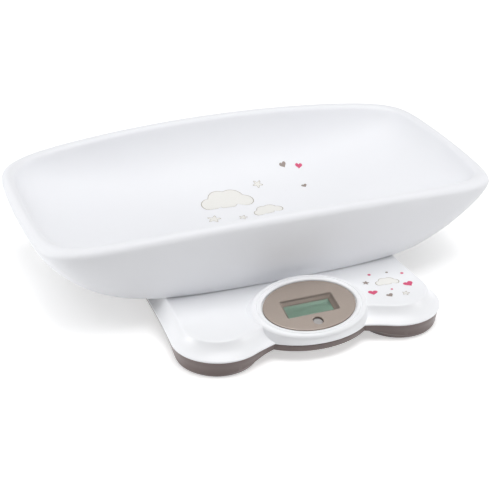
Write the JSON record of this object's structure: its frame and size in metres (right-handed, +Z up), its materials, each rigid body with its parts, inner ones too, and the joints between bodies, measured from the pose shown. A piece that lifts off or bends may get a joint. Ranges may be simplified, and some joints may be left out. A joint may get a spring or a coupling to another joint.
{
  "type": "baby scale",
  "caption": "Electronic baby scale: long moulded tray that lifts off a lobed base with a tilted oval display, an on/off button and load-sensing feet.",
  "frame": {"origin": "on the ground, under the middle of the whole footprint, tray included", "axes": "+X along the tray to the user's right, +Y to the back, away from the display, +Z up"},
  "size_m": [0.572, 0.414, 0.1352],
  "materials": {
    "tray_plastic": "satin moulded polypropylene",
    "white_shell": "gloss moulded ABS",
    "brown_shell": "matte moulded ABS",
    "bezel_plastic": "taupe metallic lacquer on plastic",
    "button_plastic": "satin grey",
    "lens_acrylic": "clear",
    "lcd_glass": "grey-green",
    "inner_plastic": "matte",
    "zebra_rubber": "matte",
    "board_laminate": "solder mask",
    "board_component": "matte",
    "battery_jacket": "plain printed sleeve",
    "contact_nickel": "nickel plated",
    "cell_steel": "stamped",
    "foot_plastic": "matte",
    "foot_rubber": "matte",
    "lead_sleeve": "soft",
    "battery_lead_sleeve": "soft",
    "screw_steel": "zinc plated"
  },
  "bodies": {
    "base": {"top_housing": "white_shell", "bottom_housing": "brown_shell", "display_bezel": "bezel_plastic", "display_lens": "lens_acrylic", "lcd_panel": "lcd_glass", "lcd_frame": "inner_plastic", "elastomer_strips": "zebra_rubber", "main_board": "board_laminate", "board_parts": "board_component", "tact_switch": "board_component", "battery_1": "battery_jacket", "battery_2": "battery_jacket", "battery_3": "battery_jacket", "battery_4": "battery_jacket", "battery_springs": "contact_nickel", "battery_plates": "contact_nickel", "load_cell_front_left": "cell_steel", "load_cell_front_right": "cell_steel", "load_cell_rear_left": "cell_steel", "load_cell_rear_right": "cell_steel", "cell_holder_front_left": "inner_plastic", "cell_holder_front_right": "inner_plastic", "cell_holder_rear_left": "inner_plastic", "cell_holder_rear_right": "inner_plastic", "sensor_lead_front_left": "lead_sleeve", "sensor_lead_front_right": "lead_sleeve", "sensor_lead_rear_left": "lead_sleeve", "sensor_lead_rear_right": "lead_sleeve", "foot_cup_front_left": "foot_plastic", "foot_cup_front_right": "foot_plastic", "foot_cup_rear_left": "foot_plastic", "foot_cup_rear_right": "foot_plastic", "foot_pad_front_left": "foot_rubber", "foot_pad_front_right": "foot_rubber", "foot_pad_rear_left": "foot_rubber", "foot_pad_rear_right": "foot_rubber", "battery_leads": "battery_lead_sleeve", "housing_screws": "screw_steel", "board_screws": "screw_steel", "holder_screws": "screw_steel"},
    "tray": {"tray": "tray_plastic"},
    "power_button": {"power_button": "button_plastic"},
    "battery_door": {"battery_door": "brown_shell"}
  },
  "joints": [
    {"name": "tray_lift", "type": "slide", "parent": "base", "child": "tray", "axis": [0, 0, 1], "range_m": [0, 0.15]},
    {"name": "button_press", "type": "slide", "parent": "base", "child": "power_button", "axis": [0, 0.247, -0.969], "range_m": [0, 0.0007], "stiffness_N_per_m": 1500, "springref_m": -0.0003},
    {"name": "battery_door_swing", "type": "hinge", "parent": "base", "child": "battery_door", "pos_m": [0, 0.0626, 0.0145], "axis": [1, 0, 0], "range_deg": [0, 80]}
  ]
}
